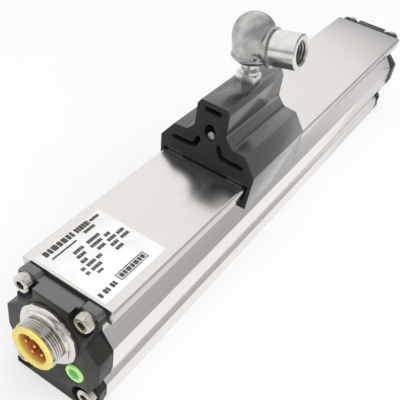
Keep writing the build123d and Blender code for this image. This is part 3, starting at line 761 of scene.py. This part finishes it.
class TRANSDUCER_OT_status_light(bpy.types.Operator):
    """Models the green status light with its pale rim and darker core"""

    bl_idname = "transducer.status_light"
    bl_label = "Status light"

    def execute(self, context):
        settings = context.scene.transducer_connector
        low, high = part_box("status_led")
        cap_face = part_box("front_end_cap")[0].x
        radius = (high.y - low.y) / 2
        proud = cap_face - low.x
        # From behind the cap's face over the rim, the groove inside it and the domed core
        rings = [
            (-1.5 * MM, radius),
            (0.45 * proud, radius),
            (0.62 * proud, radius - 0.15 * MM),
            (0.62 * proud, radius - 0.55 * MM),
            (0.42 * proud, radius - 0.75 * MM),
            (0.55 * proud, 0.62 * radius),
            (0.8 * proud, 0.45 * radius),
            (0.95 * proud, 0.22 * radius),
            (1.0 * proud, 0.01 * radius),
        ]
        sides = 64
        lens = turned("status_light_lens", rings, sides)
        close_ends(lens, sides)
        tidy_mesh(lens, 0.04 * MM)
        smooth(lens, 45)
        middle = (low + high) / 2
        stand(lens, (cap_face, middle.y, middle.z), (-1, 0, 0))

        core, rim = settings.core_colour, settings.rim_colour
        green = Finish("green_light_lens", core, roughness=0.25, Coat_Weight=0.3, Emission_Strength=0.16)
        away = green.length_of(green.place((0, 1 / radius, 1 / radius), middle))
        colours = green.ramp(away, [(0.0, core), (0.55, core), (0.72, rim), (1.0, rim)])
        green.surface("Base Color", colours)
        green.surface("Emission Color", colours)
        finish_piece(lens, green.material, "housing", "green_lens", "status_led")
        return {"FINISHED"}


class TRANSDUCER_OT_type_label(bpy.types.Operator):
    """Finishes the label's film and adds plain blocks where its print would be"""

    bl_idname = "transducer.type_label"
    bl_label = "Type label"

    # Rows of plain blocks: place across the label, height, usual length, and the spans along it, in mm
    rows = [
        (10.9, 2.0, 1.4, [(2.3, 13.6)]),
        (10.9, 1.9, 0.8, [(14.6, 20.0)]),
        (10.8, 0.9, 0.5, [(20.6, 24.2)]),
        (8.8, 1.0, 0.6, [(16.0, 20.2)]),
        (8.4, 0.5, 0.45, [(2.8, 12.4)]),
        (5.5, 1.1, 0.6, [(8.0, 12.0), (13.4, 18.3)]),
        (3.7, 1.1, 0.6, [(7.4, 10.6), (12.9, 17.4), (18.6, 20.6)]),
        (1.8, 1.1, 0.6, [(6.9, 9.0), (13.6, 16.5), (17.8, 21.0), (21.7, 24.8)]),
        (-0.1, 1.1, 0.6, [(4.8, 6.0), (7.0, 10.2), (10.9, 12.7), (17.0, 19.8), (21.2, 24.4)]),
        (-2.0, 1.1, 0.6, [(4.6, 5.7), (6.8, 10.4), (16.8, 19.9)]),
        (-3.8, 0.8, 0.6, [(7.0, 9.0)]),
        (-9.5, 1.6, 0.9, [(0.9, 1.8), (2.8, 4.6), (5.6, 7.4)]),
    ]
    # Lengths of successive blocks, and the gap after each, in shares of the usual length
    rhythm = (1.0, 0.7, 1.25, 0.85, 1.1, 0.75)
    gap_share = 0.3
    # A last block shorter than this share is left out
    shortest_share = 0.3
    # The framed row in mm: place across the label, height, start and end, line width, then the blocks inside by
    # their distance from start and end, their usual length and their share of the height
    frame_box = (-9.1, 2.5, 9.0, 20.6)
    frame_line = 0.22
    framed_margins = (0.8, 0.6)
    framed_length = 1.2
    framed_height = 0.55
    corner_round = 0.14 * MM

    def block(self, thickness):
        """One flat block of 1 mm by 1 mm with rounded corners, standing on Z 0."""
        bpy.ops.object.select_all(action="DESELECT")
        bpy.ops.mesh.primitive_cube_add(size=1, location=(0, 0, thickness / 2), scale=(MM, MM, thickness))
        block = bpy.context.object
        apply_place(block)
        for edge in block.data.edges:
            ends = [block.data.vertices[i].co for i in edge.vertices]
            edge.select = abs(ends[0].z - ends[1].z) > 0.5 * thickness
        for face in block.data.polygons:
            face.select = False
        bpy.ops.object.mode_set(mode="EDIT")
        bpy.ops.mesh.select_mode(type="EDGE")
        bpy.ops.mesh.bevel(offset=self.corner_round, segments=2, affect="EDGES")
        bpy.ops.mesh.select_mode(type="VERT")
        close_edit()
        return block

    def copy_of(self, block, place, length, height):
        """A copy of the block at a place, with its own length and height in mm."""
        copy = add_object("label_block", block.data.copy())
        copy.location = place
        copy.scale = (length, height, 1)
        return copy

    def row_blocks(self, start, end, length):
        """Starts and lengths of the blocks that fill a span."""
        found = []
        at = start
        step = 0
        while at < end - self.shortest_share * length:
            size = min(length * self.rhythm[step % len(self.rhythm)], end - at)
            found.append((at, size))
            at += size + self.gap_share * length
            step += 1
        return found

    def execute(self, context):
        settings = context.scene.transducer_label
        film = moulded("white_label_film", settings.film_colour, (0.4, 0.5), grain=900.0, strength=0.02)
        dress_solid("type_label", "type_label_film", film, "housing", "white_label", 0.03 * MM)
        low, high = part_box("type_label")
        ink = moulded("dark_label_print", settings.print_colour, (0.5, 0.6), grain=3000.0)
        block = self.block(settings.print_thickness)
        flats = []
        for across, height, length, spans in self.rows:
            for start, end in spans:
                for at, size in self.row_blocks(start, end, length):
                    flats.append((at, across, size, height))
        across, height, start, end = self.frame_box
        line = self.frame_line
        for shift in (-1, 1):
            flats.append((start, across + shift * (height - line) / 2, end - start, line))
        for place in (start, end - line):
            flats.append((place, across, line, height - 2 * line))
        before, after = self.framed_margins
        for at, size in self.row_blocks(start + before, end - after, self.framed_length):
            flats.append((at, across, size, self.framed_height * height))
        pieces = [
            self.copy_of(block, (low.x + (at + size / 2) * MM, across * MM, high.z), size, height)
            for at, across, size, height in flats
        ]
        bpy.data.objects.remove(block)
        printed = join("type_label_bars", pieces)
        apply_place(printed)
        finish_piece(printed, ink, "housing", "white_label")
        return {"FINISHED"}


class TRANSDUCER_OT_carriage(bpy.types.Operator):
    """Rounds the sliding carriage and gives it its black anodised coat and bright magnet"""

    bl_idname = "transducer.carriage"
    bl_label = "Carriage"

    # How much rougher the sawn ends are than the drawn faces
    cut_roughness = 0.3

    def execute(self, context):
        settings = context.scene.transducer_carriage
        coat = Finish(
            "black_anodised", settings.coat_colour, Specular_IOR_Level=0.35, Coat_IOR=1.8, Coat_Roughness=0.16
        )
        lines = coat.noise(700.0, detail=5.0, stretch=(0.03, 1, 1))
        coat.shades(lines, 0.85, 1.2)
        coat.bump(lines, 0.1, 0.02 * MM)
        low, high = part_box("slider_carriage")
        half = (high.x - low.x) / 2
        along = coat.coordinate("X", coat.place((1 / half, 1, 1), ((low.x + high.x) / 2, 0, 0)))
        rounded = settings.edge_round / half
        out = add_math(coat.tree, "ABSOLUTE", along)
        cut_ends = coat.share(out, 1 - 2 * rounded, 1 - 0.5 * rounded)
        coat.surface("Coat Weight", coat.span(cut_ends, 1.0, 0.0))
        clouds = coat.noise(260.0, detail=3.0, stretch=(0.1, 1, 1))
        rough = add_math(coat.tree, "MULTIPLY_ADD", cut_ends, self.cut_roughness, coat.span(clouds, 0.26, 0.36))
        coat.surface("Roughness", rough)
        dress_solid(
            "slider_carriage", "carriage_profile", coat.material, "slider", "black_plastic", settings.edge_round
        )

        plate = turned_metal("magnet_plate_bright", (0.44, 0.44, 0.45), (0.2, 0.3), 300.0)
        dress_solid("slider_magnet", "magnet_rod", plate, "slider", "magnet_plate", degrees=40)
        return {"FINISHED"}


class TRANSDUCER_OT_ball_joint(bpy.types.Operator):
    """Smooths the ball stud, socket and clip, and cuts the thread in the socket's shank"""

    bl_idname = "transducer.ball_joint"
    bl_label = "Ball joint"

    # Shares of the shank's length between which the cast head passes into the turned shank
    head_end, shank_start = 0.43, 0.46
    # The wall over which the painted shade in the bore fades out
    bore_shade_fade = 0.6 * MM
    # The shank's thread: how far the ridge is sunk into the wall, how far in from the mouth it starts, its turns
    ridge_sink = 0.05 * MM
    ridge_start = 0.7 * MM
    ridge_turns = 8

    def steel(self, settings):
        """Plated steel: dull on the cast head, bright on the turned shank, with painted shade in its bore."""
        metal = Finish("plated_joint_steel", settings.steel_colour, metallic=1.0)
        in_joint = metal.place(centre=settings.ball_place, tilt=math.radians(settings.shank_tilt))
        across = metal.node("ShaderNodeVectorMath", operation="MULTIPLY")
        metal.link(in_joint, across.inputs[0])
        across.inputs[1].default_value = (1, 0, 1)
        off_axis = metal.length_of(across.outputs["Vector"])
        inside = metal.share(off_axis, settings.shank_bore + self.bore_shade_fade, settings.shank_bore)
        reach = -settings.shank_length
        in_shank = metal.share(metal.coordinate("Y", in_joint), reach * self.head_end, reach * self.shank_start)
        painted_bore_shade = add_math(metal.tree, "MULTIPLY", inside, in_shank)

        clouds = metal.noise(300.0, detail=6.0)
        cast = metal.clouded(clouds, 0.5, 0.82, 0.32, 0.68)
        skin = add_mix(metal.tree, in_shank, cast, metal.clouded(clouds, 0.95, 1.1))
        # The bore is darkened as painted shade
        metal.surface("Base Color", add_mix(metal.tree, painted_bore_shade, skin, (*metal.toned(0.42), 1)))
        metal.rough(in_shank, 0.36, 0.2)
        metal.bump(metal.noise(1500.0, detail=3.0), 0.08, 0.03 * MM)
        return metal.material

    def execute(self, context):
        settings = context.scene.transducer_joint
        steel = self.steel(settings)
        dress_solid("ball_socket", "joint_socket", steel, "socket", "steel_joint")
        bright = turned_metal("turned_stud_steel", settings.steel_colour, (0.24, 0.36), 200.0)
        dress_solid("ball_stud", "joint_stud", bright, "slider", "steel_joint")
        wire = turned_metal("clip_spring_wire", (0.45, 0.45, 0.46), (0.2, 0.3), 900.0)
        dress_solid("safety_clip", "joint_clip", wire, "socket", "spring_wire", degrees=60)

        bore = settings.shank_bore
        ridge = thread_ridge(
            "shank_thread", bore + self.ridge_sink, bore - settings.thread_depth, settings.shank_pitch,
            self.ridge_turns,
        )
        tilt = math.radians(settings.shank_tilt)
        outwards = Vector((0, -math.cos(tilt), math.sin(tilt)))
        start = Vector(settings.ball_place) + (settings.shank_length - self.ridge_start) * outwards
        stand(ridge, start, -outwards)
        finish_piece(ridge, steel, "socket", "steel_joint")
        return {"FINISHED"}


class TRANSDUCER_OT_inner_parts(bpy.types.Operator):
    """Gives the pieces inside the housing and the hidden seals their finishes"""

    bl_idname = "transducer.inner_parts"
    bl_label = "Inner parts"

    def execute(self, context):
        rubber = moulded("seal_rubber", (0.018, 0.018, 0.018), (0.6, 0.75), grain=1500.0)
        grey = moulded("grey_plastic_moulding", (0.30, 0.31, 0.32), (0.4, 0.55))
        dark = moulded("dark_glide_plastic", (0.025, 0.025, 0.026), (0.4, 0.55))
        tube = moulded("pale_tube_plastic", (0.62, 0.62, 0.62), (0.3, 0.45))
        alloy = turned_metal("waveguide_wire_alloy", (0.6, 0.57, 0.53), (0.2, 0.3), 1500.0)
        mask = moulded("green_solder_mask", (0.012, 0.10, 0.03), (0.3, 0.45), grain=800.0)
        finishes = {
            "front_gasket": rubber,
            "rear_gasket": rubber,
            "connector_seal": rubber,
            "damping_sleeve": rubber,
            "element_carrier": grey,
            "pickup_block": grey,
            "glide_strips": dark,
            "ball_seat": grey,
            "waveguide_tube": tube,
            "waveguide": alloy,
            "circuit_board": mask,
        }
        for node, material in finishes.items():
            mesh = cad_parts[node].data
            mesh.materials.clear()
            mesh.materials.append(material)
        return {"FINISHED"}


class TRANSDUCER_OT_stage(bpy.types.Operator):
    """Sets the pale floor, the soft studio light and the camera"""

    bl_idname = "transducer.stage"
    bl_label = "Stage"

    # Lamps: name, place, target, size and power
    lamps = [
        ("overhead_softbox", (-0.1, -0.3, 1.0), (0, 0, 0.03), (0.9, 0.9), 6.5),
        ("side_softbox", (-0.6, -0.8, 0.6), (0, 0, 0.02), (0.6, 0.6), 2.5),
    ]
    floor_size = 6.0
    sensor_width = 36
    near_clip = 0.01

    def floor(self, settings):
        """A wide plain floor just under the housing."""
        bpy.ops.object.select_all(action="DESELECT")
        bpy.ops.mesh.primitive_plane_add(size=self.floor_size, location=(0, 0, 0))
        floor = bpy.context.object
        floor.name = "studio_floor"
        pale = Finish("pale_floor", settings.floor_colour, roughness=0.8, Specular_IOR_Level=0.2)
        pale.shades(pale.noise(3.0, detail=2.0), 0.995, 1.005)
        white = pale.node("ShaderNodeEmission")
        seen = seen_ray(pale.tree, "Is Transmission Ray", "Is Glossy Ray")
        lifted = pale.node("ShaderNodeMixShader")
        pale.link(add_math(pale.tree, "MULTIPLY", seen, settings.floor_white), lifted.inputs["Fac"])
        pale.link(pale.shader.outputs["BSDF"], lifted.inputs[1])
        pale.link(white.outputs["Emission"], lifted.inputs[2])
        pale.link(lifted.outputs["Shader"], pale.tree.nodes["Material Output"].inputs["Surface"])
        floor.data.materials.append(pale.material)

    def lamp(self, name, place, target, size, power):
        """A square soft lamp that points at a target."""
        data = bpy.data.lights.new(name, "AREA")
        data.shape = "RECTANGLE"
        data.size, data.size_y = size
        data.energy = power
        lamp = add_object(name, data)
        lamp.location = place
        lamp.rotation_mode = "QUATERNION"
        lamp.rotation_quaternion = (Vector(target) - Vector(place)).to_track_quat("-Z", "Y")
        lamp.visible_glossy = False

    # The surround in reflections: nearness to its bright side from 0 to 1, and the brightness there
    bright_side = (0.15, 0.72, 0.68)
    surround = [
        (0.0, 0.66), (0.36, 0.56), (0.44, 0.72), (0.49, 0.62), (0.56, 0.24), (0.62, 0.36), (0.67, 0.60), (0.73, 0.98),
        (1.0, 1.06),
    ]

    def sky(self, settings):
        """A soft surround: white to the camera, and in reflections grey on one side with a dark stripe."""
        world = bpy.data.worlds.new("studio_surround")
        bpy.context.scene.world = world
        world.use_nodes = True
        tree = world.node_tree
        coordinates = add_node(tree, "ShaderNodeTexCoord")
        towards = add_node(tree, "ShaderNodeVectorMath", operation="DOT_PRODUCT")
        feed(tree, towards.inputs[0], coordinates.outputs["Generated"])
        feed(tree, towards.inputs[1], self.bright_side)
        nearness = add_share(tree, towards.outputs["Value"], -1, 1)
        mirrored = add_ramp(tree, nearness, greys(self.surround))
        glossy = add_node(tree, "ShaderNodeLightPath").outputs["Is Glossy Ray"]
        lit = add_mix(tree, glossy, (settings.fill_level,) * 3 + (1,), mirrored)
        seen = seen_ray(tree, "Is Transmission Ray")
        feed(tree, tree.nodes["Background"].inputs["Color"], add_mix(tree, seen, lit, (1, 1, 1, 1)))

    def camera(self, settings):
        """The camera at the photograph's viewing angle, with its roll."""
        data = bpy.data.cameras.new("photo_camera")
        data.lens = settings.lens
        data.sensor_width = self.sensor_width
        data.clip_start = self.near_clip
        camera = add_object("photo_camera", data)
        bpy.context.scene.camera = camera
        turn = math.radians(settings.azimuth)
        rise = math.radians(settings.elevation)
        back = Vector((math.sin(turn) * math.cos(rise), -math.cos(turn) * math.cos(rise), math.sin(rise)))
        level = back.to_track_quat("Z", "Y")
        rolled = level @ Matrix.Rotation(math.radians(settings.roll), 3, "Z").to_quaternion()
        camera.rotation_mode = "QUATERNION"
        camera.rotation_quaternion = rolled
        camera.location = settings.place

    def execute(self, context):
        settings = context.scene.transducer_stage
        context.scene.view_settings.view_transform = "Standard"
        self.floor(settings)
        self.sky(settings)
        for lamp in self.lamps:
            self.lamp(*lamp)
        self.camera(settings)
        return {"FINISHED"}


operators = [
    TRANSDUCER_OT_housing,
    TRANSDUCER_OT_end_caps,
    TRANSDUCER_OT_cap_screws,
    TRANSDUCER_OT_connector,
    TRANSDUCER_OT_status_light,
    TRANSDUCER_OT_type_label,
    TRANSDUCER_OT_carriage,
    TRANSDUCER_OT_ball_joint,
    TRANSDUCER_OT_inner_parts,
    TRANSDUCER_OT_stage,
]


class TRANSDUCER_PT_sidebar(bpy.types.Panel):
    """Lists the pieces in the 3D view's sidebar"""

    bl_idname = "TRANSDUCER_PT_sidebar"
    bl_label = "Displacement Transducer"
    bl_space_type = "VIEW_3D"
    bl_region_type = "UI"
    bl_category = "Transducer"

    def draw(self, context):
        for operator in operators:
            self.layout.operator(operator.bl_idname)


settings_groups = {
    "transducer_housing": HousingSettings,
    "transducer_screws": ScrewSettings,
    "transducer_connector": ConnectorSettings,
    "transducer_label": LabelSettings,
    "transducer_carriage": CarriageSettings,
    "transducer_joint": JointSettings,
    "transducer_stage": StageSettings,
}


def register():
    """Registers the settings, the operators and the panel."""
    for name, group in settings_groups.items():
        bpy.utils.register_class(group)
        setattr(bpy.types.Scene, name, bpy.props.PointerProperty(type=group))
    for operator in operators:
        bpy.utils.register_class(operator)
    bpy.utils.register_class(TRANSDUCER_PT_sidebar)


def unregister():
    """Removes what register added."""
    bpy.utils.unregister_class(TRANSDUCER_PT_sidebar)
    for operator in reversed(operators):
        bpy.utils.unregister_class(operator)
    for name, group in reversed(settings_groups.items()):
        delattr(bpy.types.Scene, name)
        bpy.utils.unregister_class(group)


def main():
    """Builds every piece in order."""
    register()
    for operator in operators:
        getattr(bpy.ops.transducer, operator.bl_idname.split(".")[1])()


if __name__ == "__main__":
    main()
